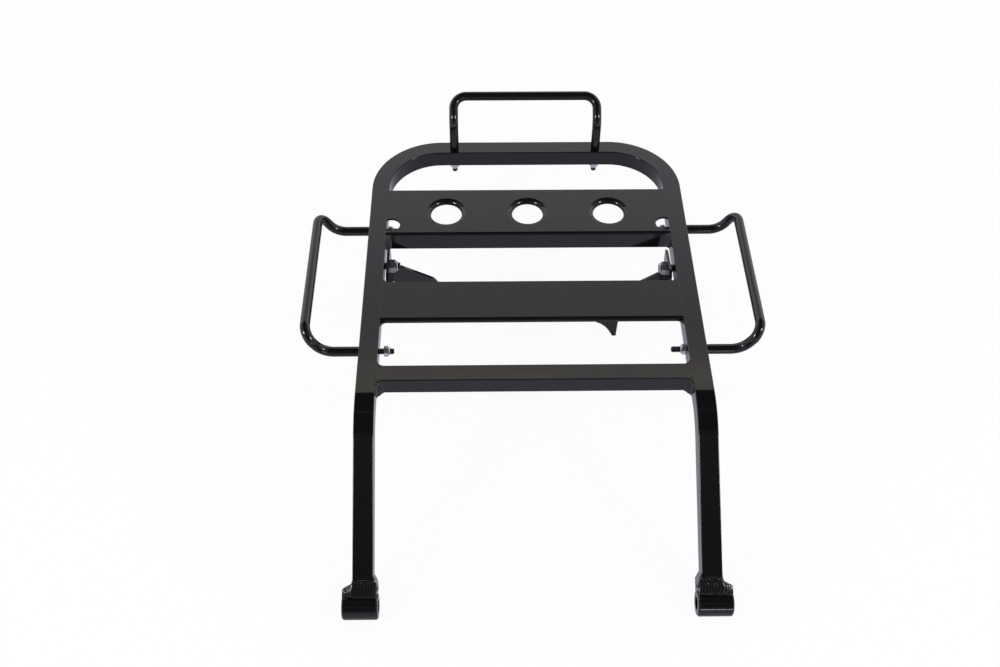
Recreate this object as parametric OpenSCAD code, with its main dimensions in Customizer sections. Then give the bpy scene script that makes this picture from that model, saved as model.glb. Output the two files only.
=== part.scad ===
// Motorcycle luggage rack: a bent square-tube frame with two legs, two deck plates,
// three bolt-on rod hoops and a pair of folded brackets underneath.
// X runs across the machine, Y towards its tail and Z up. The origin is the middle of
// the middle plate's top face, in the plane on which luggage rests. Millimetres.

/* [Frame] */
// Width over the two rails
rack_w = 360; // [330:1:420]
// Length from the crossbar's front face to the back of the rear rail
rack_l = 370; // [352:1:440]
// Side of the square tube
tube = 20; // [18:0.5:25]
// Wall of the square tube
wall = 2; // [1.2:0.1:3]
// Radius on the tube's long edges
tube_edge_r = 1; // [0.8:0.1:2.5]
// Centreline radius of every bend in the tube
bend_r = 70; // [55:1:80]

/* [Legs] */
// Slope of the legs below the platform
leg_angle = 35; // [20:1:50]
// Reach of the leg bend's corner in front of the crossbar
leg_reach = 37; // [32:1:60]
// Length from the leg bend's corner to the boss axis
leg_length = 185; // [140:1:240]

/* [Bosses] */
// Outside diameter of a boss
boss_d = 26; // [24:0.5:32]
// Length of a boss
boss_len = 35; // [30:0.5:45]
// Bore of a boss
boss_bore = 13; // [8:0.5:16]
// How far each boss sits outwards of its leg's middle
boss_offset = 2.8; // [0:0.1:4]
// Chamfer on a boss's ends
boss_chamfer = 1.5; // [0.5:0.1:3]
// Height of the weld on a leg above the boss axis
boss_weld_h = 27; // [20:0.5:34]

/* [Deck plates] */
// Sheet thickness of both plates
sheet = 2.5; // [1.5:0.1:4]
// Outside radius of the plates' folded edges
fold_r = 3.2; // [2.6:0.1:5]
// Depth of the perforated plate, front to back
perforated_depth = 73; // [66:1:82]
// Drop of the perforated plate's front flange
flange_drop = 22.8; // [12:0.1:28]
// Distance from the perforated plate to the start of the rear corner bends
perforated_clear = 6.4; // [2:0.1:12]
// Gap between the two plates
plate_gap = 73.8; // [66:0.1:84]
// Depth of the middle plate
middle_depth = 55; // [40:1:60]
// Drop of the middle plate's front lip
lip_drop = 5.2; // [4.8:0.1:12]

/* [Dimpled holes] */
// Number of dimpled holes
dimple_count = 3; // [1:1:3]
// Spacing of the dimpled holes
dimple_pitch = 93; // [60:1:98]
// Diameter of a dimple's throat
throat_d = 35; // [24:0.5:44]
// Radius of the rolled lip round the throat, on its top side
lip_r = 5.5; // [4:0.1:8]
// Diameter of the access holes over the rear hoop nuts
access_d = 20; // [16:0.5:22]
// Distance from the plate's front edge to the access holes
access_back = 15.5; // [15:0.5:20]
// Distance from the rails to the middle of the access holes
access_in = 5; // [3:0.5:8]

/* [Hoops] */
// Diameter of the hoop rod
rod_d = 10.5; // [8:0.5:12]
// Straight reach of a hoop's ends out of the tube, to the corner of the upward bend
hoop_out = 37.8; // [34:0.1:60]
// Length of a hoop's flared part
hoop_flare = 31.4; // [28:0.1:60]
// Angle of the flared part from the straight ends
hoop_tilt = 57; // [20:1:70]
// Centreline radius of the flare's bend
flare_r = 22; // [12:1:24]
// Centreline radius of the hoop's corners
corner_r = 15; // [11:1:17]
// Distance of the side hoops' front ends behind the crossbar's front face
side_hoop_front = 47; // [44:1:52]
// Spacing of the rear hoop's two ends
rear_hoop_w = 170; // [120:1:190]
// How much taller the rear hoop stands on its ends than the side hoops reach
rear_hoop_more = 1.5; // [0:0.1:8]

/* [Hoop fasteners] */
// Thread diameter of the hoop ends
stud_d = 6; // [5:0.5:8]
// Clearance of the holes and nuts on the thread, across the diameter
stud_clear = 0.4; // [0.2:0.1:1]
// Length of thread that stands out of the tube
stud_out = 16; // [14:0.5:22]
// Width across flats of a hoop nut
nut_af = 10; // [9:0.5:13]
// Height of a hoop nut, with its collar
nut_h = 6; // [5:0.5:8]
// How far the left front nut stands off the tube
left_front_off = 5.4; // [0:0.1:6]
// How far the left rear nut stands off the tube
left_rear_off = 1.4; // [0:0.1:6]
// How far the right front nut stands off the tube
right_front_off = 0.2; // [0:0.1:6]
// How far the right rear nut stands off the tube
right_rear_off = 3.8; // [0:0.1:6]
// How far the rear hoop's nuts stand off the tube
rear_off = 3.8; // [0:0.1:6]

/* [Brackets] */
// Sheet thickness of a bracket
bracket_t = 3; // [2:0.1:4]
// Distance of the left bracket's stud in front of the perforated plate
left_stud_gap = 40; // [38:0.5:46]
// Distance of the right bracket's stud in front of the perforated plate
right_stud_gap = 46; // [38:0.5:48]
// Angle by which the left bracket swings rearwards on its stud
left_swing = 4; // [-8:0.5:5]
// Angle by which the right bracket swings rearwards on its stud
right_swing = -8; // [-12:0.5:5]
// How far the left bracket's ear stands off the rail
left_ear_off = 2.3; // [0.2:0.1:4]
// How far the right bracket's ear stands off the rail
right_ear_off = 4.4; // [0.2:0.1:5]
// Radius of the ear's front end, and its height above the stud axis
ear_r = 8; // [7.5:0.1:8.4]
// Depth of the ear's lower edge below the stud axis
ear_drop = 52; // [38:0.5:54]
// Distance of the ears' front ends behind the middle plate
nose_clear = 9; // [6:0.5:9]
// Distance from the stud axis back to the web's front face
web_back = 21; // [18:0.5:24]
// Depth of the foot's tip below the stud axis
foot_drop = 117; // [110:0.5:130]
// Reach of the foot's toe inwards from the rail
toe_reach = 79; // [72:0.5:90]
// Reach of the foot's tip inwards from the rail
tip_reach = 57; // [55:0.5:62]
// Width of the foot's tip
tip_w = 4.4; // [3:0.1:8]
// Hole in the foot
foot_hole_d = 9; // [6:0.5:11]

/* [Bracket fasteners] */
// Thread diameter of the bracket studs
bracket_stud_d = 8; // [6:0.5:8]
// Length of a bracket stud
bracket_stud_len = 17; // [16.5:0.5:24]
// Width across flats of a bracket nut
bracket_nut_af = 13; // [12:0.5:14]
// Height of a bracket nut, with its collar
bracket_nut_h = 8.8; // [6:0.1:9]

/* [Welds] */
// Leg of the fillet welds on the crossbar
weld_leg = 6; // [3:0.5:8]
// Radius of the fillets at the middle plate's front corners
corner_weld_r = 7; // [4:0.5:10]

/* [Hidden] */
$fn = 96;
LEFT = -1;
RIGHT = 1;
black = [0.07, 0.07, 0.08];
zinc = [0.72, 0.74, 0.76];
// Overrun of cutting tools past the faces that they cut
past = 1;
// Bends stand proud of the straights by this much, and the straights run this far into them
proud = 0.02;
lap = 0.3;

// Across the rack
rail_x = rack_w / 2 - tube / 2;
inner_x = rack_w / 2 - tube;
rail_z = -tube / 2;

// Back from the crossbar's front face
rear_rail_back = rack_l - tube / 2;
corner_back = rear_rail_back - bend_r;
perforated_rear = corner_back - perforated_clear;
perforated_front = perforated_rear - perforated_depth;
middle_front = perforated_front - plate_gap - middle_depth;
side_hoop_rear = perforated_front + access_back;
function y_at(back) = back - middle_front - middle_depth / 2;

// The legs
leg_tangent = bend_r * tan(leg_angle / 2);
leg_dir = [0, -cos(leg_angle), -sin(leg_angle)];
leg_corner = [0, y_at(-leg_reach), rail_z];
boss_at = leg_corner + leg_length * leg_dir;

// The hoops
hoop_rise = hoop_flare * sin(hoop_tilt);
hoop_spread = hoop_flare * cos(hoop_tilt);
stud_hole_d = stud_d + stud_clear;

// The brackets
bracket_back = web_back + bracket_t;

// The rounded square section of the tube, grown all round by the given amount
module tube_outline(grow = 0) {
    flat = tube - 2 * tube_edge_r;
    side = tube + 2 * grow;
    square([side, flat], center = true);
    square([flat, side], center = true);
    for (x = [-flat / 2, flat / 2], y = [-flat / 2, flat / 2])
        translate([x, y])
            circle(r = tube_edge_r + grow);
}

module tube_bore(grow = 0) {
    square(tube - 2 * wall + 2 * grow, center = true);
}

// Places a section at the top of a leg, with +Z down the leg
module at_leg(side) {
    translate([side * rail_x, 0, 0] + leg_corner)
        rotate([90 + leg_angle, 0, 0])
            children();
}

// Sweeps two sections along the rails and legs: the first on straights, the second on bends
module along_rail() {
    side_start = y_at(leg_tangent - leg_reach);
    side_end = y_at(corner_back);
    corner_x = rail_x - bend_r;
    translate([0, y_at(rear_rail_back), rail_z])
        rotate([0, 90, 0])
            linear_extrude(2 * (corner_x + lap), center = true)
                children(0);
    for (side = [LEFT, RIGHT]) {
        translate([side * rail_x, side_start - lap, rail_z])
            rotate([-90, 0, 0])
                linear_extrude(side_end - side_start + 2 * lap)
                    children(0);
        translate([side * corner_x, side_end, rail_z])
            rotate([0, 0, side == RIGHT ? 0 : 90])
                rotate_extrude(angle = 90)
                    translate([bend_r, 0])
                        children(1);
        translate([side * rail_x, side_start, rail_z - bend_r])
            rotate([90, 0, 90])
                rotate([0, 0, 90])
                    rotate_extrude(angle = leg_angle)
                        translate([bend_r, 0])
                            children(1);
        at_leg(side)
            translate([0, 0, leg_tangent - lap])
                linear_extrude(leg_length - leg_tangent + lap)
                    children(0);
    }
}

module at_boss(side) {
    translate([side * (rail_x + boss_offset), 0, 0] + boss_at)
        rotate([0, 90, 0])
            children();
}

module main_rail() {
    color(black)
        difference() {
            along_rail() {
                tube_outline();
                tube_outline(proud);
            }
            along_rail() {
                tube_bore();
                tube_bore(proud);
            }
            for (side = [LEFT, RIGHT]) {
                at_boss(side)
                    cylinder(h = 2 * boss_len, d = boss_d, center = true);
                for (back = [side_hoop_front, side_hoop_rear])
                    translate([side * rail_x, y_at(back), rail_z])
                        rotate([0, 90, 0])
                            cylinder(h = tube + 2 * past, d = stud_hole_d, center = true);
                translate([side * rear_hoop_w / 2, y_at(rear_rail_back), rail_z])
                    cylinder(h = tube + 2 * past, d = stud_hole_d, center = true);
            }
        }
}

module front_crossbar() {
    color(black)
        translate([-inner_x, y_at(tube / 2), rail_z])
            rotate([0, 90, 0])
                linear_extrude(2 * inner_x)
                    difference() {
                        tube_outline();
                        tube_bore();
                    }
}

// Section of a plate with its front edge folded down, front at x = 0 and top at y = 0
module folded_section(depth, drop) {
    fold_in = fold_r - sheet;
    difference() {
        union() {
            translate([0, -sheet])
                square([depth, sheet]);
            translate([0, -drop])
                square([sheet, drop]);
            difference() {
                translate([0, -fold_r])
                    square(fold_r);
                translate([fold_r, -fold_r])
                    circle(r = fold_in);
            }
        }
        difference() {
            translate([-past, -fold_r])
                square(fold_r + past);
            translate([fold_r, -fold_r])
                circle(r = fold_r);
        }
    }
}

module folded_plate(front, depth, drop) {
    translate([0, y_at(front), 0])
        rotate([90, 0, 90])
            linear_extrude(2 * inner_x, center = true)
                folded_section(depth, drop);
}

module middle_plate() {
    color(black)
        folded_plate(middle_front, middle_depth, lip_drop);
}

// The rolled lip of one dimple, a quarter turn from the plate's top down to the throat
module dimple() {
    rotate_extrude()
        intersection() {
            translate([throat_d / 2, -lip_r])
                square(lip_r);
            translate([throat_d / 2 + lip_r, -lip_r])
                difference() {
                    circle(r = lip_r);
                    circle(r = lip_r - sheet);
                }
        }
}

module at_dimples() {
    for (i = [0 : dimple_count - 1])
        translate([(i - (dimple_count - 1) / 2) * dimple_pitch,
                   y_at(perforated_front + perforated_depth / 2), 0])
            children();
}

module perforated_plate() {
    color(black) {
        difference() {
            folded_plate(perforated_front, perforated_depth, flange_drop);
            at_dimples()
                cylinder(h = 2 * (sheet + past), d = throat_d + 2 * lip_r, center = true);
            for (side = [LEFT, RIGHT])
                translate([side * (inner_x - access_in), y_at(side_hoop_rear), 0])
                    cylinder(h = 2 * (sheet + past), d = access_d, center = true);
        }
        at_dimples()
            dimple();
    }
}

module boss(side) {
    r = boss_d / 2;
    end = boss_len / 2;
    color(black)
        at_boss(side)
            rotate_extrude()
                polygon([
                    [boss_bore / 2, -end], [r - boss_chamfer, -end], [r, -end + boss_chamfer],
                    [r, end - boss_chamfer], [r - boss_chamfer, end], [boss_bore / 2, end]
                ]);
}

// Weld built up around a leg's end, down onto the boss
module boss_weld(side) {
    foot = 5;
    waist = (boss_weld_h + foot) / 2;
    out = boss_len / 2 - boss_chamfer;
    neck = tube / 2 + 1.2;
    belly = tube / 2 + 2.6;
    shift = side * boss_offset;
    color(black)
        difference() {
            at_leg(side)
                translate([0, 0, leg_length])
                    intersection() {
                        rotate([90, 0, 0])
                            linear_extrude(2 * boss_d, center = true)
                                polygon([
                                    [-neck, -boss_weld_h], [neck, -boss_weld_h],
                                    [shift / 2 + out - 2, -waist], [shift + out, -foot],
                                    [shift - out, -foot], [shift / 2 - out + 2, -waist]
                                ]);
                        rotate([90, 0, 90])
                            linear_extrude(2 * boss_len, center = true)
                                polygon([
                                    [-neck, -boss_weld_h], [neck, -boss_weld_h], [belly, -waist],
                                    [belly, -foot], [-belly, -foot], [-belly, -waist]
                                ]);
                    }
            at_leg(side)
                linear_extrude(leg_length)
                    tube_outline();
            at_boss(side)
                cylinder(h = 2 * boss_len, d = boss_d, center = true);
        }
}

// Upright fillet bead in the corner at the origin, legs along +X and +Y
module fillet_bead(size, low, high) {
    translate([0, 0, low])
        linear_extrude(high - low)
            polygon([[0, 0], [size, 0], [size * 0.62, size * 0.62], [0, size]]);
}

// Places a bead in the corner between a rail's inner face and a face across the rack
module at_inner_corner(side, back, towards) {
    translate([side * inner_x, y_at(back), 0])
        scale([-side, towards, 1])
            children();
}

module crossbar_welds() {
    color(black)
        for (side = [LEFT, RIGHT]) {
            at_inner_corner(side, 0, -1)
                fillet_bead(weld_leg, tube_edge_r - tube, -tube_edge_r);
            at_inner_corner(side, tube, 1)
                fillet_bead(weld_leg, tube_edge_r - tube, -tube_edge_r);
        }
}

module middle_plate_welds() {
    color(black)
        for (side = [LEFT, RIGHT])
            at_inner_corner(side, middle_front, -1)
                translate([0, 0, -lip_drop])
                    linear_extrude(lip_drop - fold_r)
                        difference() {
                            square(corner_weld_r);
                            translate([corner_weld_r, corner_weld_r])
                                circle(r = corner_weld_r);
                        }
}

module perforated_plate_welds() {
    color(black)
        for (side = [LEFT, RIGHT])
            at_inner_corner(side, perforated_front, -1)
                fillet_bead(weld_leg, max(tube_edge_r - tube, -flange_drop), -fold_r);
}

// Round rod along a list of points, with a bend of the given radius at each inner point
module rod(points, radii) {
    last = len(points) - 1;
    function unit(v) = v / norm(v);
    function inner(i) = i > 0 && i < last;
    function turn(i) = acos(unit(points[i] - points[i - 1]) * unit(points[i + 1] - points[i]));
    function trim(i) = inner(i) ? radii[i - 1] * tan(turn(i) / 2) : 0;
    for (i = [0 : last - 1]) {
        along = unit(points[i + 1] - points[i]);
        start = trim(i) - (inner(i) ? lap : 0);
        end = norm(points[i + 1] - points[i]) - trim(i + 1) + (inner(i + 1) ? lap : 0);
        translate(points[i] + start * along)
            rotate([0, acos(along.z), atan2(along.y, along.x)])
                cylinder(h = end - start, d = rod_d);
    }
    for (i = [1 : last - 1]) {
        along = unit(points[i] - points[i - 1]);
        axis = unit(cross(along, points[i + 1] - points[i]));
        inward = cross(axis, along);
        middle = points[i] - trim(i) * along + radii[i - 1] * inward;
        multmatrix([
            [-inward.x, along.x, axis.x, middle.x],
            [-inward.y, along.y, axis.y, middle.y],
            [-inward.z, along.z, axis.z, middle.z],
            [0, 0, 0, 1]
        ])
            rotate_extrude(angle = turn(i))
                translate([radii[i - 1], 0])
                    circle(d = rod_d + 2 * proud);
    }
}

// The threaded end of a hoop, from just inside the rod through the tube and out, along +Z
module threaded_end() {
    tip = 1;
    length = tube + stud_out;
    translate([0, 0, -past])
        cylinder(h = length - tip + past, d = stud_d);
    translate([0, 0, length - tip])
        cylinder(h = tip, d1 = stud_d, d2 = stud_d - 2 * tip);
}

module side_hoop(side) {
    foot_x = side * rack_w / 2;
    bend_x = side * (rack_w / 2 + hoop_out);
    run_x = side * (rack_w / 2 + hoop_out + hoop_spread);
    run_z = rail_z + hoop_rise;
    front = y_at(side_hoop_front);
    rear = y_at(side_hoop_rear);
    color(black) {
        rod([
            [foot_x, front, rail_z], [bend_x, front, rail_z], [run_x, front, run_z],
            [run_x, rear, run_z], [bend_x, rear, rail_z], [foot_x, rear, rail_z]
        ], [flare_r, corner_r, corner_r, flare_r]);
        for (y = [front, rear])
            translate([foot_x, y, rail_z])
                rotate([0, side * -90, 0])
                    threaded_end();
    }
}

module rear_hoop() {
    half = rear_hoop_w / 2;
    y = y_at(rear_rail_back);
    run_y = y + hoop_rise;
    bend_z = hoop_out + rear_hoop_more;
    run_z = bend_z + hoop_spread;
    color(black) {
        rod([
            [-half, y, 0], [-half, y, bend_z], [-half, run_y, run_z],
            [half, run_y, run_z], [half, y, bend_z], [half, y, 0]
        ], [flare_r, corner_r, corner_r, flare_r]);
        for (x = [-half, half])
            translate([x, y, 0])
                rotate([180, 0, 0])
                    threaded_end();
    }
}

// Lock nut along +Z: a hexagon with chamfered corners and a round collar above it
module lock_nut(thread, flats, height) {
    corners = flats / cos(30);
    hex_h = 0.72 * height;
    collar_d = 0.88 * flats;
    chamfer = (corners - flats) / 4;
    color(zinc)
        difference() {
            union() {
                intersection() {
                    cylinder(h = hex_h, d = corners, $fn = 6);
                    rotate_extrude()
                        polygon([
                            [0, 0], [corners / 2 - chamfer, 0], [corners / 2, chamfer],
                            [corners / 2, hex_h - chamfer], [corners / 2 - chamfer, hex_h],
                            [0, hex_h]
                        ]);
                }
                cylinder(h = height - chamfer, d = collar_d);
                translate([0, 0, height - chamfer])
                    cylinder(h = chamfer, d1 = collar_d, d2 = collar_d - 2 * chamfer);
            }
            translate([0, 0, -past])
                cylinder(h = height + 2 * past, d = thread + stud_clear);
        }
}

module side_nut(side, back, off) {
    translate([side * (inner_x - off), y_at(back), rail_z])
        rotate([0, side * -90, 0])
            lock_nut(stud_d, nut_af, nut_h);
}

module rear_nut(side) {
    translate([side * rear_hoop_w / 2, y_at(rear_rail_back), -tube - rear_off])
        rotate([180, 0, 0])
            lock_nut(stud_d, nut_af, nut_h);
}

// Distance of a bracket's stud in front of the perforated plate
function stud_gap(side) = side == LEFT ? left_stud_gap : right_stud_gap;

// Places a bracket piece on its stud axis at the rail's inner face, with X inwards
module at_stud(side) {
    translate([side * inner_x, y_at(perforated_front - stud_gap(side)), rail_z])
        scale([-side, 1, 1])
            children();
}

module bracket_stud(side) {
    color(black)
        at_stud(side)
            rotate([0, 90, 0])
                cylinder(h = bracket_stud_len, d = bracket_stud_d);
}

// Places a bracket's sheet on its stud, swung about it, with X inwards and Y rearwards
module at_bracket(side) {
    at_stud(side)
        rotate([side == LEFT ? left_swing : right_swing, 0, 0])
            children();
}

// How far a bracket's ear stands off the rail
function ear_off(side) = side == LEFT ? left_ear_off : right_ear_off;

// A bracket's ear beside the rail, with the bend into the web at its back
module bracket_ear(side) {
    off = ear_off(side);
    nose = plate_gap - stud_gap(side) - nose_clear - ear_r;
    front = 2;
    chin = [1.5 - ear_r - nose, -2];
    color(black)
        at_bracket(side)
            difference() {
                union() {
                    translate([off, -nose, 0])
                        rotate([0, 90, 0])
                            cylinder(h = bracket_t, r = ear_r);
                    translate([off, 0, 0])
                        rotate([90, 0, 90])
                            linear_extrude(bracket_t)
                                polygon([
                                    [-nose, ear_r], [bracket_back, ear_r],
                                    [bracket_back, -ear_drop], [front, -ear_drop], chin
                                ]);
                }
                translate([off - past, 0, 0])
                    rotate([0, 90, 0])
                        cylinder(h = bracket_t + 2 * past, d = bracket_stud_d + stud_clear);
                translate([off, bracket_back, 0])
                    difference() {
                        translate([-past, -bracket_t, -foot_drop])
                            cube([bracket_t + past, bracket_t + past, 2 * foot_drop]);
                        translate([bracket_t, -bracket_t, -foot_drop - past])
                            cylinder(h = 2 * foot_drop + 2 * past, r = bracket_t);
                    }
            }
}

// A bracket's web across the rack and its foot, which steps inwards below the plate
module bracket(side) {
    start = ear_off(side) + bracket_t;
    web_top = 20.5;
    knee = [52, 48.5];
    toe = [toe_reach, foot_drop - 21];
    tip = [tip_reach, foot_drop];
    heel = [tip_reach - 3.5, foot_drop - 22];
    hole = [tip_reach + 5, foot_drop - 29];
    function by_knee(along, down) = [knee.x + along, -knee.y - down];
    color(black)
        at_bracket(side)
            translate([0, bracket_back, 0])
                rotate([90, 0, 0])
                    linear_extrude(bracket_t)
                        difference() {
                            polygon([
                                [start, -web_top], by_knee(-1.5, -1), by_knee(1, 1.5),
                                [toe.x, -toe.y], [toe.x - 5.5, -toe.y - 2.4],
                                [toe.x - 11.5, -toe.y - 7.5], [toe.x - 15.5, -toe.y - 13],
                                [tip.x + tip_w / 2, -tip.y], [tip.x - tip_w / 2, -tip.y],
                                [heel.x, -heel.y], [start, -ear_drop]
                            ]);
                            translate([hole.x, -hole.y])
                                circle(d = foot_hole_d);
                        }
}

module bracket_nut(side) {
    at_stud(side)
        translate([ear_off(side) + bracket_t, 0, 0])
            rotate([0, 90, 0])
                lock_nut(bracket_stud_d, bracket_nut_af, bracket_nut_h);
}

main_rail();
front_crossbar();
middle_plate();
perforated_plate();
boss(LEFT);  // left_boss
boss(RIGHT);  // right_boss
boss_weld(LEFT);  // left_boss_weld
boss_weld(RIGHT);  // right_boss_weld
crossbar_welds();
middle_plate_welds();
perforated_plate_welds();
side_hoop(LEFT);  // left_hoop
side_hoop(RIGHT);  // right_hoop
rear_hoop();
side_nut(LEFT, side_hoop_front, left_front_off);  // left_front_nut
side_nut(LEFT, side_hoop_rear, left_rear_off);  // left_rear_nut
side_nut(RIGHT, side_hoop_front, right_front_off);  // right_front_nut
side_nut(RIGHT, side_hoop_rear, right_rear_off);  // right_rear_nut
rear_nut(LEFT);  // rear_left_nut
rear_nut(RIGHT);  // rear_right_nut
bracket_stud(LEFT);  // left_bracket_stud
bracket_stud(RIGHT);  // right_bracket_stud
bracket_ear(LEFT);  // left_bracket_ear
bracket_ear(RIGHT);  // right_bracket_ear
bracket(LEFT);  // left_bracket
bracket(RIGHT);  // right_bracket
bracket_nut(LEFT);  // left_bracket_nut
bracket_nut(RIGHT);  // right_bracket_nut
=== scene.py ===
"""Looks for a motorcycle luggage rack: black powder coat, plated nuts, weld beads, pale studio.

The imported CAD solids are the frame. They are dressed where their shape is right, and the welds,
thread ends and nut inserts are modelled here. Lengths are in metres, in the CAD's own frame.
"""

import logging
import math
from dataclasses import dataclass, field
from enum import Enum
from typing import Sequence

import bmesh
import bpy
from mathutils import Matrix, Vector


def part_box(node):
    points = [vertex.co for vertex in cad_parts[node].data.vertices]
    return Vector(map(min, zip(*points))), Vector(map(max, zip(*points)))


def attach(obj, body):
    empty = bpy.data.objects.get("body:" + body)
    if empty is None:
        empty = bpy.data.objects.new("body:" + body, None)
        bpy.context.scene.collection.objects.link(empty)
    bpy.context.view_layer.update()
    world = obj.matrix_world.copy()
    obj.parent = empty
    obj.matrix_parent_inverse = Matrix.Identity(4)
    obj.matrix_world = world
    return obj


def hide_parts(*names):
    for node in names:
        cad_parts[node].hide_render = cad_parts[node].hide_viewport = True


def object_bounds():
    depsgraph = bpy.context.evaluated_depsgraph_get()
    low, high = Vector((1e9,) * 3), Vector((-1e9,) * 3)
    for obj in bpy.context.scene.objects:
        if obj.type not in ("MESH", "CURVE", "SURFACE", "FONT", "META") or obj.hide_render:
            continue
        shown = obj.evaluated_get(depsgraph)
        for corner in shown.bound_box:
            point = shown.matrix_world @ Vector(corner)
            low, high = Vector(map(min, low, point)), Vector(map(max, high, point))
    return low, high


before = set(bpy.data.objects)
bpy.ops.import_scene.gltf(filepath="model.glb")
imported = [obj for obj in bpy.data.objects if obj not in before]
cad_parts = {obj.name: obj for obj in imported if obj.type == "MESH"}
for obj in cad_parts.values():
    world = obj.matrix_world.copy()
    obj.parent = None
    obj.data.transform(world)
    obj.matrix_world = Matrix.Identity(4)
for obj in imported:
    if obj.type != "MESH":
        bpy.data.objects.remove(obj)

log = logging.getLogger("rack")
CAD_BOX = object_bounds()
MM = 0.001
BODY = "root"


class Side(Enum):
    """The two sides of the rack, by the sign of X."""

    LEFT = -1
    RIGHT = 1


class Noise(Enum):
    """How fine a procedural grain is, as a noise scale per metre."""

    FINE = 1400.0
    PEEL = 420.0
    MOTTLE = 24.0


# ---- materials


class Wiring:
    """A node tree while it is being wired."""

    def __init__(self, tree: bpy.types.NodeTree) -> None:
        """Takes the tree to wire.

        Args:
            tree: a material's, world's or group's node tree.
        """
        self.tree = tree

    def add(self, kind: str, **settings: object) -> bpy.types.Node:
        """Adds a node.

        Args:
            kind: the node's Blender type name.
            settings: attributes to set on it.

        Returns:
            The new node.
        """
        node = self.tree.nodes.new(kind)
        for name, value in settings.items():
            setattr(node, name, value)
        return node

    def join(self, source: bpy.types.NodeSocket, target: bpy.types.NodeSocket) -> None:
        """Links an output to an input."""
        self.tree.links.new(source, target)

    def math(self, operation: str, first: object, second: object = 0.0) -> bpy.types.NodeSocket:
        """Adds a Math node on two sockets or numbers.

        Args:
            operation: the Math node's operation.
            first: a socket or a number.
            second: a socket or a number.

        Returns:
            The node's output.
        """
        node = self.add("ShaderNodeMath", operation=operation)
        for socket, value in zip(node.inputs, (first, second)):
            if isinstance(value, bpy.types.NodeSocket):
                self.join(value, socket)
            else:
                socket.default_value = value
        return node.outputs[0]

    def spread(self, value: bpy.types.NodeSocket, low: float, high: float) -> bpy.types.NodeSocket:
        """Maps a 0 to 1 mask to a range.

        Args:
            value: the mask.
            low: the result at 0.
            high: the result at 1.

        Returns:
            The mapped value.
        """
        node = self.add("ShaderNodeMapRange")
        self.join(value, node.inputs["Value"])
        node.inputs["To Min"].default_value = low
        node.inputs["To Max"].default_value = high
        return node.outputs["Result"]

    def blend(
        self, mask: bpy.types.NodeSocket, low: Sequence[float], high: Sequence[float]
    ) -> bpy.types.NodeSocket:
        """Mixes two colours by a mask.

        Args:
            mask: 0 gives low and 1 gives high.
            low: a colour of three numbers.
            high: a colour of three numbers.

        Returns:
            The mixed colour.
        """
        node = self.add("ShaderNodeMix", data_type="RGBA")
        self.join(mask, node.inputs["Factor"])
        node.inputs["A"].default_value = (*low, 1)
        node.inputs["B"].default_value = (*high, 1)
        return node.outputs["Result"]


def make_grain_group() -> bpy.types.NodeTree:
    """Builds the shared grain: a bump height and a slow mottle, both from Object coordinates.

    Returns:
        The node group, with inputs Grain Scale and Mottle Scale and outputs Height and Mottle.
    """
    group = bpy.data.node_groups.new("surface_grain", "ShaderNodeTree")
    for name, value in (("Grain Scale", Noise.PEEL.value), ("Mottle Scale", Noise.MOTTLE.value)):
        socket = group.interface.new_socket(name, in_out="INPUT", socket_type="NodeSocketFloat")
        socket.default_value = value
    for name in ("Height", "Mottle"):
        group.interface.new_socket(name, in_out="OUTPUT", socket_type="NodeSocketFloat")
    wires = Wiring(group)
    start, end = wires.add("NodeGroupInput"), wires.add("NodeGroupOutput")
    place = wires.add("ShaderNodeTexCoord").outputs["Object"]
    for name, scale, detail in (("Height", "Grain Scale", 2.0), ("Mottle", "Mottle Scale", 4.0)):
        noise = wires.add("ShaderNodeTexNoise")
        noise.inputs["Detail"].default_value = detail
        wires.join(place, noise.inputs["Vector"])
        wires.join(start.outputs[scale], noise.inputs["Scale"])
        wires.join(noise.outputs["Fac"], end.inputs[name])
    return group


@dataclass(frozen=True)
class Finish:
    """One surface finish: two tones, a roughness range and a grain."""

    name: str
    dark: tuple[float, float, float]
    light: tuple[float, float, float]
    smooth: float
    rough: float
    metallic: float = 0.0
    grain: Noise = Noise.PEEL
    bump: float = 0.1
    bump_depth: float = 0.02 * MM

    def build(self, grain_group: bpy.types.NodeTree) -> bpy.types.Material:
        """Makes the material.

        Args:
            grain_group: the shared grain group.

        Returns:
            A procedural material.
        """
        material = bpy.data.materials.new(self.name)
        material.use_nodes = True
        wires = Wiring(material.node_tree)
        shader = material.node_tree.nodes["Principled BSDF"]
        grain = wires.add("ShaderNodeGroup", node_tree=grain_group)
        grain.inputs["Grain Scale"].default_value = self.grain.value
        grain.inputs["Mottle Scale"].default_value = Noise.MOTTLE.value
        mottle = grain.outputs["Mottle"]
        wires.join(wires.blend(mottle, self.dark, self.light), shader.inputs["Base Color"])
        wires.join(wires.spread(mottle, self.smooth, self.rough), shader.inputs["Roughness"])
        shader.inputs["Metallic"].default_value = self.metallic
        bump = wires.add("ShaderNodeBump")
        bump.inputs["Strength"].default_value = self.bump
        bump.inputs["Distance"].default_value = self.bump_depth
        wires.join(grain.outputs["Height"], bump.inputs["Height"])
        wires.join(bump.outputs["Normal"], shader.inputs["Normal"])
        return material


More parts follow.
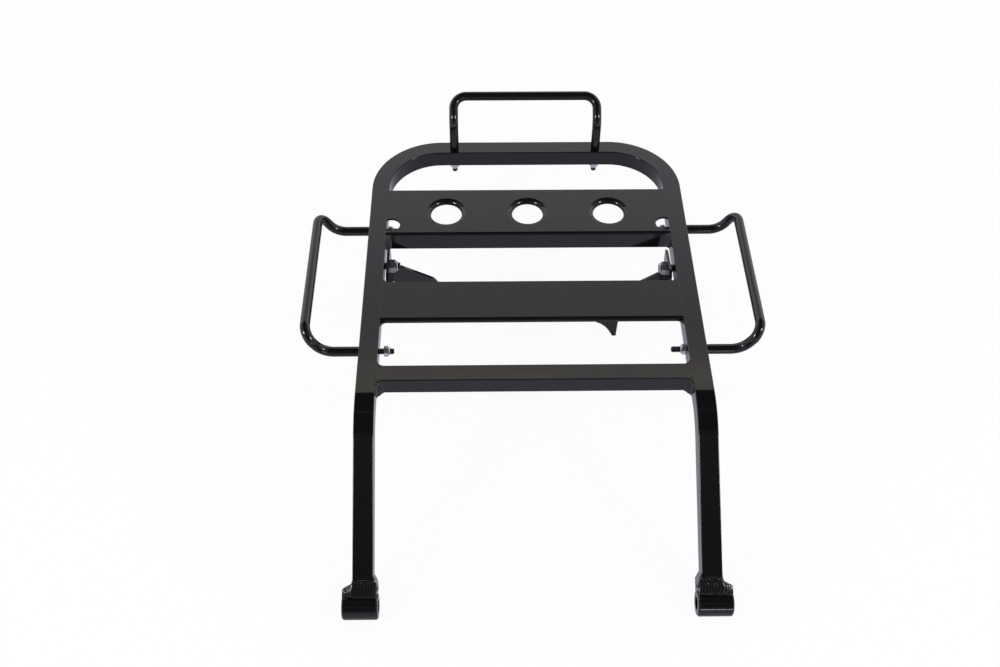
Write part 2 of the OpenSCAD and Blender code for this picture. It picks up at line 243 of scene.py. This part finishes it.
class Look(Enum):
    """The finishes of the rack."""

    COAT = Finish("powder_coat", (0.0022, 0.0022, 0.0025), (0.0032, 0.0030, 0.0033), 0.07, 0.12)
    WELD = Finish("coated_weld", (0.0024, 0.0024, 0.0028), (0.0040, 0.0038, 0.0042), 0.10, 0.17)
    THREAD = Finish("coated_thread", (0.006, 0.006, 0.006), (0.012, 0.012, 0.012), 0.28, 0.40)
    ZINC = Finish(
        "zinc_plate", (0.55, 0.58, 0.61), (0.72, 0.75, 0.77), 0.16, 0.28, 1.0, Noise.FINE, 0.2
    )
    # The same zinc plate as above, darker for the nuts under the deck: the darker colour is
    # painted shade, the slightly higher roughness is real.
    SHADED_ZINC = Finish(
        "zinc_plate_painted_shade", (0.26, 0.27, 0.29), (0.38, 0.39, 0.41), 0.20, 0.32, 1.0, Noise.FINE, 0.2
    )
    NYLON = Finish("nylon_insert", (0.62, 0.64, 0.62), (0.72, 0.74, 0.72), 0.42, 0.5)


class Palette:
    """The finishes as materials, each made when it is first asked for."""

    def __init__(self) -> None:
        """Makes the shared grain."""
        self.grain = make_grain_group()
        self.made: dict[Look, bpy.types.Material] = {}

    def get(self, look: Look) -> bpy.types.Material:
        """Gives the material of a finish.

        Args:
            look: the finish.

        Returns:
            Its material.
        """
        if look not in self.made:
            self.made[look] = look.value.build(self.grain)
        return self.made[look]


# ---- shapes


def dress(names: Sequence[str], material: bpy.types.Material) -> None:
    """Gives CAD nodes a material.

    Args:
        names: the nodes.
        material: their finish.
    """
    for name in names:
        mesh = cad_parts[name].data
        mesh.materials.clear()
        mesh.materials.append(material)
        log.info("dressed %s in %s", name, material.name)


def make_piece(
    name: str, shape: bmesh.types.BMesh, material: bpy.types.Material
) -> bpy.types.Object:
    """Turns a bmesh into a piece of the rack.

    Args:
        name: the piece's name.
        shape: its shape in place, in millimetres, which is freed.
        material: its finish.

    Returns:
        The new object, at the origin and riding on the rack.
    """
    bmesh.ops.scale(shape, vec=(MM, MM, MM), verts=shape.verts)
    bmesh.ops.recalc_face_normals(shape, faces=shape.faces)
    mesh = bpy.data.meshes.new(name)
    shape.to_mesh(mesh)
    shape.free()
    mesh.shade_smooth()
    mesh.materials.append(material)
    piece = bpy.data.objects.new(name, mesh)
    bpy.context.scene.collection.objects.link(piece)
    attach(piece, BODY)
    log.info("made %s", name)
    return piece


def fuse(piece: bpy.types.Object, grain_size: float, passes: int) -> None:
    """Runs a weld's beads together and softens their edges.

    Args:
        piece: the weld.
        grain_size: the fused mesh's cell, in millimetres.
        passes: how often it is softened.
    """
    remesh = piece.modifiers.new("fuse", "REMESH")
    remesh.mode = "VOXEL"
    remesh.voxel_size = grain_size * MM
    remesh.use_smooth_shade = True
    soften = piece.modifiers.new("soften", "SMOOTH")
    soften.factor = 0.5
    soften.iterations = passes


def add_ball(
    shape: bmesh.types.BMesh,
    centre: Sequence[float],
    radii: Sequence[float],
    turn: Matrix = Matrix.Identity(3),
    blunt: bool = False,
) -> list[bmesh.types.BMVert]:
    """Adds a ball or a flattened ball.

    Args:
        shape: the bmesh that takes it.
        centre: its middle.
        radii: its three radii.
        turn: how it is turned.
        blunt: whether it keeps its girth almost to the ends of its third radius.

    Returns:
        Its vertices.
    """
    place = Matrix.LocRotScale(Vector(centre), turn, Vector(radii))
    verts = bmesh.ops.create_uvsphere(shape, u_segments=20, v_segments=16, radius=1)["verts"]
    if blunt:
        for vert in verts:
            girth = math.hypot(vert.co.x, vert.co.y)
            if girth > 1e-4:
                vert.co.xy *= (1 - vert.co.z**4) ** 0.25 / girth
    bmesh.ops.transform(shape, matrix=place, verts=verts)
    return verts


def add_block(
    shape: bmesh.types.BMesh, low: Sequence[float], high: Sequence[float]
) -> list[bmesh.types.BMVert]:
    """Adds a square block.

    Args:
        shape: the bmesh that takes it.
        low: its lowest corner.
        high: its highest corner.

    Returns:
        Its vertices.
    """
    low, high = Vector(low), Vector(high)
    place = Matrix.LocRotScale((low + high) / 2, None, high - low)
    return bmesh.ops.create_cube(shape, size=1, matrix=place)["verts"]


def box_mm(name: str) -> tuple[Vector, Vector]:
    """Gives a node's box in millimetres, lowest corner first."""
    low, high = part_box(name)
    return Vector(low) / MM, Vector(high) / MM


def side_of(name: str) -> Side:
    """Tells which side a left or right node is on."""
    return Side.LEFT if name.startswith("left") else Side.RIGHT


# ---- the rack's parts


@dataclass
class BossWelds:
    """The rippled welds that run from the legs' ends down onto the bosses.

    Shapes are drawn on the leg: X outwards, Y out of the leg's upper face, Z down the leg from
    the boss's axis.
    """

    leg_slope: float = 35.0
    leg_half: float = 9.9
    boss_offset: float = 2.8
    stations: tuple[tuple[float, float, float, float, float], ...] = (
        (30.0, -10.05, 10.02, 10.0, 9.9), (28.4, -11.2, 10.1, 10.2, 9.6),
        (25.6, -12.7, 10.3, 10.6, 9.4), (22.4, -13.7, 11.3, 10.8, 9.0),
        (20.0, -14.0, 13.2, 10.8, 8.8), (18.9, -14.1, 17.2, 10.8, 8.6),
        (17.6, -14.2, 20.0, 10.8, 8.4), (13.5, -13.5, 20.2, 10.8, 8.6),
        (9.8, -13.0, 20.2, 10.3, 8.4), (4.0, -12.6, 19.6, 7.0, 6.0),
    )
    ripple_count: int = 10
    ripple_pitch: float = 3.0
    ripple_start: float = -11.2
    ripple_at: tuple[float, float] = (10.6, 16.6)
    ripple_out: float = 1.9
    ripple_tall: float = 7.6
    ripple_limit: float = -13.4
    ripple_swing: float = 2.3
    swing_up: float = 0.5
    swing_wide: float = 0.12
    past_up: float = 0.55
    past_out: float = 0.3
    past_tall: float = 0.9
    ledge_at: tuple[float, float, float] = (-0.8, 10.0, -24.9)
    ledge_radii: tuple[float, float, float] = (10.6, 1.5, 1.2)
    shoulders: tuple[tuple[tuple[float, float], float, tuple[float, float, float]], ...] = (
        ((14.6, 18.7), 62.0, (1.4, 1.5, 5.4)),
        ((18.7, 13.6), 6.0, (1.3, 1.4, 3.4)),
        ((-12.0, 20.8), -18.0, (1.4, 1.6, 6.2)),
    )
    shoulder_count: int = 6
    shoulder_pitch: float = 2.6
    shoulder_wander: float = 0.3
    ripple_wide: dict[Side, float] = field(
        default_factory=lambda: {Side.LEFT: 2.8, Side.RIGHT: 2.65}
    )
    ripple_lean: dict[Side, float] = field(
        default_factory=lambda: {Side.LEFT: 0.12, Side.RIGHT: 0.02}
    )
    ripple_bend: dict[Side, float] = field(
        default_factory=lambda: {Side.LEFT: 0.012, Side.RIGHT: 0.055}
    )
    cell: float = 0.36

    def build(self, palette: Palette) -> None:
        """Makes both welds.

        Args:
            palette: the rack's materials.
        """
        for side in Side:
            shape = bmesh.new()
            self.add_base(shape)
            self.add_ripples(shape, side)
            self.add_shoulders(shape)
            name = side.name.lower()
            low, high = box_mm(f"{name}_boss")
            middle = (low + high) / 2
            middle.x -= side.value * self.boss_offset
            place = (
                Matrix.Translation(middle)
                @ Matrix.Rotation(math.radians(90 + self.leg_slope), 4, "X")
                @ Matrix.Diagonal((side.value, 1, 1, 1))
            )
            bmesh.ops.transform(shape, matrix=place, verts=shape.verts)
            piece = make_piece(f"{name}_boss_weld_bead", shape, palette.get(Look.WELD))
            fuse(piece, self.cell, 2)
            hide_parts(f"{name}_boss_weld")

    def add_base(self, shape: bmesh.types.BMesh) -> None:
        """Adds the body of the weld, lofted down the leg through its stations.

        A station holds its height over the boss's axis, its inner and outer edge, and how far
        the weld stands out in front of the leg and at those edges.

        Args:
            shape: the empty bmesh that takes it.
        """
        bmesh.ops.create_cube(shape, size=2)
        last = len(self.stations) - 1
        cuts = [((0, 0, 2 * step / last - 1), (0, 0, 1)) for step in range(1, last)]
        cuts += [((place, 0, 0), (1, 0, 0)) for place in (-0.5, 0.5)]
        for point, normal in cuts:
            everything = shape.verts[:] + shape.edges[:] + shape.faces[:]
            bmesh.ops.bisect_plane(shape, geom=everything, plane_co=point, plane_no=normal)
        for vert in shape.verts:
            station = self.stations[round((vert.co.z + 1) / 2 * last)]
            up, inner, outer, front, shoulder = station
            at_edge = abs(vert.co.x) > 0.75
            edge = inner if vert.co.x < 0 else outer
            vert.co.x = edge if at_edge else math.copysign(self.leg_half, vert.co.x)
            vert.co.y = math.copysign(shoulder if at_edge else front, vert.co.y)
            vert.co.z = -up

    def add_ripples(self, shape: bmesh.types.BMesh, side: Side) -> None:
        """Adds the ripples across the leg's upper and lower faces.

        Args:
            shape: the bmesh that takes them.
            side: which leg.
        """
        lean, bend = self.ripple_lean[side], self.ripple_bend[side]
        out, up = self.ripple_at
        wide = self.ripple_wide[side]
        for face in (1, -1):
            for step in range(self.ripple_count):
                x = self.ripple_start + step * self.ripple_pitch
                past = max(0.0, x - self.leg_half)
                swing = math.sin(step * self.ripple_swing + side.value)
                middle = up - self.past_up * past + self.swing_up * swing
                centre = (x, face * (out - self.past_out * past), -middle)
                tall = self.ripple_tall - self.past_tall * past
                radii = (wide + self.swing_wide * swing, self.ripple_out, tall)
                for vert in add_ball(shape, centre, radii, blunt=True):
                    off = vert.co.z + middle
                    shifted = vert.co.x + lean * off - bend * off * off
                    vert.co.x = max(shifted, self.ripple_limit)
            x, y, z = self.ledge_at
            add_ball(shape, (x, face * y, z), self.ledge_radii)

    def add_shoulders(self, shape: bmesh.types.BMesh) -> None:
        """Adds the ripples on the weld's outer shoulder and on its inner side.

        Args:
            shape: the bmesh that takes them.
        """
        for (across, up), slope, radii in self.shoulders:
            turn = Matrix.Rotation(math.radians(slope), 3, "Y")
            for step in range(self.shoulder_count):
                y = (step - (self.shoulder_count - 1) / 2) * self.shoulder_pitch
                x = across + self.shoulder_wander * math.sin(step * 2.1)
                add_ball(shape, (x, y, -up), radii, turn)


@dataclass(frozen=True)
class Bead:
    """The section of a corner bead: its legs, how hollow its face is, and its ripples."""

    leg: float
    hollow: float
    pitch: float
    proud: float


@dataclass
class CornerWelds:
    """The fillet welds in the corners between the rails and what runs across them."""

    cell: float = 0.4
    sink: float = 1.1
    ripple_depth: float = 1.9
    ripple_across: float = 0.42
    ripple_tall: float = 0.6
    ripple_wander: float = 0.16
    crossbar_low: float = 0.5
    crossbar_top: float = -0.1
    plate_front_span: tuple[float, float] = (-19.6, -1.6)
    plate_rear_span: tuple[float, float] = (-3.2, -0.4)
    crossbar_front: Bead = Bead(6.8, 0.62, 3.3, 1.7)
    crossbar_rear: Bead = Bead(5.8, 0.5, 2.1, 0.35)
    plate_front: Bead = Bead(5.8, 1.0, 2.6, 0.4)
    plate_rear: Bead = Bead(5.6, 0.8, 1.4, 0.5)

    def build(self, palette: Palette) -> None:
        """Makes the corner welds of the crossbar and of both plates.

        Args:
            palette: the rack's materials.
        """
        low, high = box_mm("front_crossbar")
        shape = bmesh.new()
        front_span = (low.z - self.crossbar_low, self.crossbar_top)
        rear_span = (low.z + self.crossbar_low, self.crossbar_top)
        for side in Side:
            self.add_bead(shape, side, low.y, -1, front_span, self.crossbar_front)
            self.add_bead(shape, side, high.y, 1, rear_span, self.crossbar_rear)
        piece = make_piece("crossbar_weld_beads", shape, palette.get(Look.WELD))
        fuse(piece, self.cell, 2)
        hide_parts("crossbar_welds")
        low, high = box_mm("perforated_plate")
        shape = bmesh.new()
        for side in Side:
            self.add_bead(shape, side, low.y, -1, self.plate_front_span, self.plate_front)
        piece = make_piece("perforated_plate_weld_beads", shape, palette.get(Look.WELD))
        fuse(piece, self.cell, 3)
        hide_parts("perforated_plate_welds")
        rear = box_mm("middle_plate")[1].y
        shape = bmesh.new()
        for side in Side:
            self.add_bead(shape, side, rear, 1, self.plate_rear_span, self.plate_rear)
        fuse(make_piece("middle_plate_rear_beads", shape, palette.get(Look.WELD)), self.cell, 2)

    def add_bead(
        self,
        shape: bmesh.types.BMesh,
        side: Side,
        face: float,
        towards: int,
        span: tuple[float, float],
        form: Bead,
    ) -> None:
        """Adds one upright bead, a wedge with ripples down its face.

        Args:
            shape: the bmesh that takes it.
            side: which rail.
            face: the Y of the face across the rack.
            towards: the way that this face looks along Y.
            span: the bead's lowest and highest Z.
            form: its section.
        """
        low, high = span
        leg, hollow = form.leg, form.hollow
        bead = bmesh.new()
        for end, normal in (((leg, 0, 0), (hollow, 1, 0)), ((0, leg, 0), (1, hollow, 0))):
            verts = add_block(bead, (-self.sink, -self.sink, low), (leg, leg, high))
            edges = list(dict.fromkeys(edge for vert in verts for edge in vert.link_edges))
            faces = list(dict.fromkeys(face for vert in verts for face in vert.link_faces))
            cut = bmesh.ops.bisect_plane(
                bead, geom=verts + edges + faces, plane_co=end, plane_no=normal, clear_outer=True
            )["geom_cut"]
            bmesh.ops.edgeloop_fill(
                bead, edges=[edge for edge in cut if isinstance(edge, bmesh.types.BMEdge)]
            )
        middle = leg * hollow / (1 + hollow)
        turn = Matrix.Rotation(math.radians(45), 3, "Z")
        for step in range(int((high - low) / form.pitch)):
            z = low + form.pitch * (step + 0.5)
            out = form.proud + self.ripple_wander * math.sin(step * 1.9 + face)
            reach = middle + (out - self.ripple_depth) / math.sqrt(2)
            radii = (self.ripple_depth, self.ripple_across * leg, self.ripple_tall * form.pitch)
            add_ball(bead, (reach, reach, z), radii, turn)
        rail = box_mm("front_crossbar")[1].x
        place = Matrix.Translation((side.value * rail, face, 0)) @ Matrix.Diagonal(
            (-side.value, towards, 1, 1)
        )
        bmesh.ops.transform(bead, matrix=place, verts=bead.verts)
        bmesh.ops.recalc_face_normals(bead, faces=bead.faces)
        mesh = bpy.data.meshes.new("bead")
        bead.to_mesh(mesh)
        bead.free()
        shape.from_mesh(mesh)
        bpy.data.meshes.remove(mesh)


@dataclass
class GroundSeams:
    """The welds ground flush over the rounded edge where a plate or the crossbar meets a rail."""

    width: float = 1.15
    depth: float = 0.9
    waviness: float = 0.012
    wave_turn: float = 0.8
    cell: float = 2.0

    def build(self, palette: Palette) -> None:
        """Makes one piece of seams for each member across the rack.

        Args:
            palette: the rack's materials.
        """
        for member, faces in (
            ("front_crossbar", (1, -1)), ("middle_plate", (1,)), ("perforated_plate", (1,)),
        ):
            low, high = box_mm(member)
            shape = bmesh.new()
            for side in Side:
                for up in faces:
                    top = high.z if up > 0 else low.z
                    self.add_strip(shape, side, (low.y, high.y), (high.x, top), up)
            make_piece(f"{member}_seams", shape, palette.get(Look.COAT))

    def add_strip(
        self,
        shape: bmesh.types.BMesh,
        side: Side,
        run: tuple[float, float],
        corner: tuple[float, float],
        up: int,
    ) -> None:
        """Adds one flush strip.

        Args:
            shape: the bmesh that takes it.
            side: which rail.
            run: its first and last Y.
            corner: the rail's inner face and the flush face's Z.
            up: 1 on the top face and -1 on the underside.
        """
        start, end = run
        place = Matrix.Translation(
            (side.value * (corner[0] + self.width / 2), (start + end) / 2, corner[1])
        ) @ Matrix.Diagonal((self.width, end - start, 1, 1))
        top = bmesh.ops.create_grid(
            shape, x_segments=3, y_segments=int((end - start) / self.cell), size=0.5, matrix=place
        )["verts"]
        for vert in top:
            wave = 1 + math.sin(vert.co.y * self.wave_turn + side.value)
            vert.co.z -= up * self.waviness * wave / 2
        faces = list(dict.fromkeys(face for vert in top for face in vert.link_faces))
        walls = bmesh.ops.extrude_face_region(shape, geom=faces)["geom"]
        sunk = [vert for vert in walls if isinstance(vert, bmesh.types.BMVert)]
        bmesh.ops.translate(shape, vec=(0, 0, -up * self.depth), verts=sunk)


@dataclass
class Threads:
    """The threads cut on the hoops' ends and on the bracket studs."""

    turn_steps: int = 24
    sunk: float = 0.25
    crest: float = 0.2
    flank: float = 0.46
    hoop_ends: tuple[str, ...] = (
        "left_front", "left_rear", "right_front", "right_rear", "rear_left", "rear_right",
    )
    hoop_thread: tuple[float, float, float] = (3.0, 1.0, 15.0)
    bracket_radius: float = 4.0
    bracket_pitch: float = 1.25
    bracket_short: float = 0.6

    def build(self, palette: Palette) -> None:
        """Makes each threaded length as one ridge wound round its stud.

        Args:
            palette: the rack's materials.
        """
        tube_low, tube_high = box_mm("front_crossbar")
        for name in self.hoop_ends:
            low, high = box_mm(f"{name}_nut")
            middle = (low + high) / 2
            if name.startswith("rear"):
                middle.z = tube_low.z
                away = Vector((0, 0, -1))
            else:
                side = side_of(name)
                middle.x = side.value * tube_high.x
                away = Vector((-side.value, 0, 0))
            self.make(f"{name}_thread", middle, away, *self.hoop_thread, palette)
        for side in Side:
            name = f"{side.name.lower()}_bracket_stud"
            low, high = box_mm(name)
            middle = (low + high) / 2
            middle.x = side.value * tube_high.x
            away = Vector((-side.value, 0, 0))
            reach = high.x - low.x - self.bracket_short
            sizes = (self.bracket_radius, self.bracket_pitch, reach)
            self.make(f"{name}_thread", middle, away, *sizes, palette)

    def make(
        self,
        name: str,
        start: Vector,
        away: Vector,
        radius: float,
        pitch: float,
        length: float,
        palette: Palette,
    ) -> None:
        """Makes one thread.

        Args:
            name: the piece's name.
            start: where the thread begins on the stud's axis.
            away: the way that it runs.
            radius: the stud's radius.
            pitch: the ridge's rise in a turn.
            length: how far it runs.
            palette: the rack's materials.
        """
        across = Vector((0, 0, 1)) if abs(away.z) < 0.5 else Vector((1, 0, 0))
        shape = bmesh.new()
        first = start + away * pitch * 0.5
        corners = [
            shape.verts.new(first + across * (radius - self.sunk) - away * pitch * self.flank),
            shape.verts.new(first + across * (radius + self.crest)),
            shape.verts.new(first + across * (radius - self.sunk) + away * pitch * self.flank),
        ]
        edges = [shape.edges.new(pair) for pair in zip(corners, corners[1:] + corners[:1])]
        turns = int((length - pitch) / pitch)
        bmesh.ops.spin(
            shape,
            geom=corners + edges,
            cent=start,
            axis=away,
            dvec=away * pitch / self.turn_steps,
            angle=2 * math.pi * turns,
            steps=turns * self.turn_steps,
        )
        bmesh.ops.holes_fill(shape, edges=[edge for edge in shape.edges if edge.is_boundary])
        make_piece(name, shape, palette.get(Look.THREAD))


@dataclass
class Nuts:
    """The plated lock nuts and their nylon inserts."""

    insert_proud: float = 0.25
    insert_deep: float = 0.9
    insert_wall: float = 0.75
    insert_lap: float = 0.1
    insert_edge: float = 0.16
    insert_steps: int = 40
    hoop_bore: float = 3.2
    bracket_bore: float = 4.2

    def build(self, palette: Palette) -> None:
        """Dresses the nuts and makes their inserts.

        Args:
            palette: the rack's materials.
        """
        nuts = [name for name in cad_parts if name.endswith("_nut")]
        on_brackets = [name for name in nuts if "bracket" in name]
        dress([name for name in nuts if name not in on_brackets], palette.get(Look.ZINC))
        # The bracket nuts sit under the deck and take the darker zinc copy, which is painted
        # shade.
        dress(on_brackets, palette.get(Look.SHADED_ZINC))
        for name in nuts:
            low, high = box_mm(name)
            middle = (low + high) / 2
            if name.startswith("rear"):
                away, end = Vector((0, 0, -1)), Vector((middle.x, middle.y, low.z))
            else:
                side = side_of(name)
                away = Vector((-side.value, 0, 0))
                end = Vector((high.x if side is Side.LEFT else low.x, middle.y, middle.z))
            radius = self.bracket_bore if name in on_brackets else self.hoop_bore
            self.make_insert(f"{name}_insert", end, away, radius, palette)

    def make_insert(
        self, name: str, end: Vector, away: Vector, radius: float, palette: Palette
    ) -> None:
        """Makes one insert, a rounded ring in the mouth of a nut's collar.

        Args:
            name: the piece's name.
            end: the middle of the collar's end.
            away: the way out of the collar.
            radius: the radius of the nut's bore.
            palette: the rack's materials.
        """
        across = Vector((0, 0, 1)) if abs(away.z) < 0.5 else Vector((1, 0, 0))
        shape = bmesh.new()
        corners = [
            shape.verts.new(end + across * (radius + wall) + away * rise)
            for wall, rise in (
                (-self.insert_lap, -self.insert_deep), (-self.insert_lap, self.insert_proud),
                (self.insert_wall, self.insert_proud), (self.insert_wall, -self.insert_deep),
            )
        ]
        for pair in zip(corners, corners[1:] + corners[:1]):
            shape.edges.new(pair)
        bmesh.ops.bevel(
            shape,
            geom=corners,
            offset=self.insert_edge,
            segments=2,
            profile=0.5,
            affect="VERTICES",
            material=-1,
        )
        bmesh.ops.spin(
            shape,
            geom=shape.verts[:] + shape.edges[:],
            cent=end,
            axis=away,
            angle=2 * math.pi,
            steps=self.insert_steps,
            use_merge=True,
        )
        make_piece(name, shape, palette.get(Look.NYLON))


@dataclass
class Coated:
    """The coated steel parts whose CAD shape is kept."""

    names: tuple[str, ...] = (
        "main_rail", "front_crossbar", "middle_plate", "perforated_plate", "middle_plate_welds",
        "left_boss", "right_boss", "left_hoop", "right_hoop", "rear_hoop",
        "left_bracket_ear", "right_bracket_ear", "left_bracket", "right_bracket",
        "left_bracket_stud", "right_bracket_stud",
    )
    hidden: tuple[str, ...] = (
        "left_boss_weld", "right_boss_weld", "crossbar_welds", "perforated_plate_welds",
    )

    def build(self, palette: Palette) -> None:
        """Dresses the parts, and the solids under the weld beads.

        Args:
            palette: the rack's materials.
        """
        dress(self.names, palette.get(Look.COAT))
        dress(self.hidden, palette.get(Look.WELD))


# ---- studio


@dataclass
class Studio:
    """The pale floor, the lights, the surroundings and the camera."""

    floor_half: float = 12.0
    camera_at: tuple[float, float, float] = (-0.04915, -0.84832, 0.92063)
    camera_down: float = 48.978
    camera_turn: float = 1.083
    camera_roll: float = 0.4065
    camera_lens: float = 42.166
    floor_show: float = 0.93
    floor_in_gloss: tuple[float, float, float] = (0.50, 0.51, 0.60)
    floor_beside: tuple[float, float, float] = (1.15, 1.17, 1.18)
    beside_from: float = 0.35
    beside_to: float = 1.1
    sky_light: float = 0.75
    sky_gain: float = 2.2
    sky_sides: float = 0.42
    sides_from: float = 0.22
    sides_to: float = 0.75
    sky_tones: tuple[tuple[float, tuple[float, float, float]], ...] = (
        (0.000, (0.24, 0.245, 0.27)), (0.215, (0.55, 0.55, 0.59)), (0.240, (0.46, 0.45, 0.48)),
        (0.255, (0.40, 0.39, 0.41)), (0.279, (0.34, 0.34, 0.34)), (0.2825, (0.46, 0.45, 0.43)),
        (0.2845, (1.00, 0.94, 0.84)), (0.2875, (0.80, 0.72, 0.58)), (0.2905, (0.10, 0.08, 0.07)),
        (0.320, (0.016, 0.016, 0.018)), (0.466, (0.022, 0.022, 0.024)),
        (0.4695, (0.12, 0.12, 0.13)), (0.4725, (0.12, 0.12, 0.13)),
        (0.476, (0.022, 0.022, 0.024)), (0.636, (0.014, 0.014, 0.018)),
        (0.645, (0.055, 0.040, 0.042)), (0.690, (0.070, 0.060, 0.062)),
        (0.720, (0.035, 0.035, 0.045)), (0.860, (0.03, 0.03, 0.04)), (1.000, (0.20, 0.205, 0.24)),
    )

    def build(self) -> None:
        """Makes the whole studio."""
        self.floor()
        self.surroundings()
        self.lamps()
        self.camera()
        bpy.context.scene.view_settings.view_transform = "Standard"

    def floor(self) -> None:
        """Lays the floor at the rack's lowest point."""
        shape = bmesh.new()
        bmesh.ops.create_grid(shape, x_segments=1, y_segments=1, size=self.floor_half)
        bmesh.ops.translate(shape, vec=(0, 0, CAD_BOX[0].z), verts=shape.verts)
        mesh = bpy.data.meshes.new("floor")
        shape.to_mesh(mesh)
        shape.free()
        floor = bpy.data.objects.new("floor", mesh)
        bpy.context.scene.collection.objects.link(floor)
        mesh.materials.append(self.floor_material())

    def floor_material(self) -> bpy.types.Material:
        """Makes white paper that shows white to the camera and keeps a soft shadow.

        Returns:
            The floor's material.
        """
        material = bpy.data.materials.new("white_paper")
        material.use_nodes = True
        tree = material.node_tree
        wires = Wiring(tree)
        tree.nodes.remove(tree.nodes["Principled BSDF"])
        paper = wires.add("ShaderNodeBsdfDiffuse")
        paper.inputs["Color"].default_value = (0.8, 0.8, 0.8, 1)
        path = wires.add("ShaderNodeLightPath")
        glow = wires.add("ShaderNodeEmission")
        axes = wires.add("ShaderNodeSeparateXYZ")
        wires.join(wires.add("ShaderNodeTexCoord").outputs["Object"], axes.inputs["Vector"])
        beside = wires.add("ShaderNodeMapRange", interpolation_type="SMOOTHSTEP")
        wires.join(wires.math("ABSOLUTE", axes.outputs["X"]), beside.inputs["Value"])
        beside.inputs["From Min"].default_value = self.beside_from
        beside.inputs["From Max"].default_value = self.beside_to
        gloss = wires.blend(beside.outputs["Result"], self.floor_in_gloss, self.floor_beside)
        tint = wires.add("ShaderNodeMix", data_type="RGBA")
        wires.join(path.outputs["Is Camera Ray"], tint.inputs["Factor"])
        wires.join(gloss, tint.inputs["A"])
        tint.inputs["B"].default_value = (1, 1, 1, 1)
        wires.join(tint.outputs["Result"], glow.inputs["Color"])
        seen = wires.math("MAXIMUM", path.outputs["Is Camera Ray"], path.outputs["Is Glossy Ray"])
        seen = wires.math("MAXIMUM", seen, path.outputs["Is Transmission Ray"])
        mix = wires.add("ShaderNodeMixShader")
        wires.join(wires.math("MULTIPLY", seen, self.floor_show), mix.inputs["Fac"])
        wires.join(paper.outputs["BSDF"], mix.inputs[1])
        wires.join(glow.outputs["Emission"], mix.inputs[2])
        wires.join(mix.outputs["Shader"], tree.nodes["Material Output"].inputs["Surface"])
        return material

    def surroundings(self) -> None:
        """Makes the world: white to the camera, a plain grey light, and a studio in the gloss."""
        world = bpy.data.worlds.new("studio")
        bpy.context.scene.world = world
        world.use_nodes = True
        tree = world.node_tree
        wires = Wiring(tree)
        background = tree.nodes["Background"]
        place = wires.add("ShaderNodeTexCoord").outputs["Generated"]
        axes = wires.add("ShaderNodeSeparateXYZ")
        wires.join(place, axes.inputs["Vector"])
        turn = wires.math("ARCTAN2", axes.outputs["Z"], axes.outputs["Y"])
        ramp = wires.add("ShaderNodeValToRGB")
        wires.join(wires.math("DIVIDE", turn, math.pi), ramp.inputs["Fac"])
        elements = ramp.color_ramp.elements
        while len(elements) < len(self.sky_tones):
            elements.new(0.5)
        for element, (position, tone) in zip(elements, self.sky_tones):
            element.position = position
            element.color = (*tone, 1)
        gain = wires.add("ShaderNodeVectorMath", operation="SCALE")
        wires.join(ramp.outputs["Color"], gain.inputs["Vector"])
        gain.inputs["Scale"].default_value = self.sky_gain
        sides = wires.add("ShaderNodeMapRange", interpolation_type="SMOOTHSTEP")
        wires.join(wires.math("ABSOLUTE", axes.outputs["X"]), sides.inputs["Value"])
        sides.inputs["From Min"].default_value = self.sides_from
        sides.inputs["From Max"].default_value = self.sides_to
        sides.inputs["To Max"].default_value = self.sky_sides
        lift = wires.add("ShaderNodeVectorMath", operation="ADD")
        wires.join(gain.outputs["Vector"], lift.inputs[0])
        wires.join(sides.outputs["Result"], lift.inputs[1])
        path = wires.add("ShaderNodeLightPath")
        gloss = wires.add("ShaderNodeMix", data_type="RGBA")
        wires.join(path.outputs["Is Glossy Ray"], gloss.inputs["Factor"])
        gloss.inputs["A"].default_value = (self.sky_light,) * 3 + (1,)
        wires.join(lift.outputs["Vector"], gloss.inputs["B"])
        seen = wires.add("ShaderNodeMix", data_type="RGBA")
        clear = wires.math(
            "MAXIMUM", path.outputs["Is Camera Ray"], path.outputs["Is Transmission Ray"]
        )
        wires.join(clear, seen.inputs["Factor"])
        wires.join(gloss.outputs["Result"], seen.inputs["A"])
        seen.inputs["B"].default_value = (1, 1, 1, 1)
        wires.join(seen.outputs["Result"], background.inputs["Color"])

    def lamps(self) -> None:
        """Hangs the soft boxes: one overhead, one at each side of the camera and one low down."""
        for name, place, width, height, power, mirrored in (
            ("over_box", (0.3, 0.5, 2.4), 1.6, 1.6, 6.0, False),
            ("left_box", (-1.77, -1.02, 1.27), 0.44, 0.44, 17.0, True),
            ("right_box", (1.77, -1.02, 1.27), 0.44, 0.44, 17.0, True),
            ("low_box", (0.66, -2.85, 0.02), 0.5, 0.12, 2.6, True),
        ):
            light = bpy.data.lights.new(name, "AREA")
            light.shape = "RECTANGLE"
            light.size = width
            light.size_y = height
            light.energy = power
            lamp = bpy.data.objects.new(name, light)
            lamp.location = place
            lamp.rotation_euler = (-Vector(place)).to_track_quat("-Z", "Y").to_euler()
            lamp.visible_glossy = mirrored
            lamp.visible_camera = False
            bpy.context.scene.collection.objects.link(lamp)

    def camera(self) -> None:
        """Sets the camera where the photograph was taken from."""
        data = bpy.data.cameras.new("camera")
        data.sensor_width = 36.0
        data.lens = self.camera_lens
        camera = bpy.data.objects.new("camera", data)
        camera.matrix_world = (
            Matrix.Translation(self.camera_at)
            @ Matrix.Rotation(-math.radians(self.camera_turn), 4, "Z")
            @ Matrix.Rotation(math.radians(90 - self.camera_down), 4, "X")
            @ Matrix.Rotation(math.radians(self.camera_roll), 4, "Z")
        )
        bpy.context.scene.collection.objects.link(camera)
        bpy.context.scene.camera = camera


def main() -> None:
    """Builds the studio and every part of the rack in order."""
    logging.basicConfig(level=logging.INFO, format="%(message)s")
    palette = Palette()
    Studio().build()
    for part in (Coated(), BossWelds(), CornerWelds(), GroundSeams(), Threads(), Nuts()):
        part.build(palette)
        log.info("finished %s", type(part).__name__)


if __name__ == "__main__":
    main()
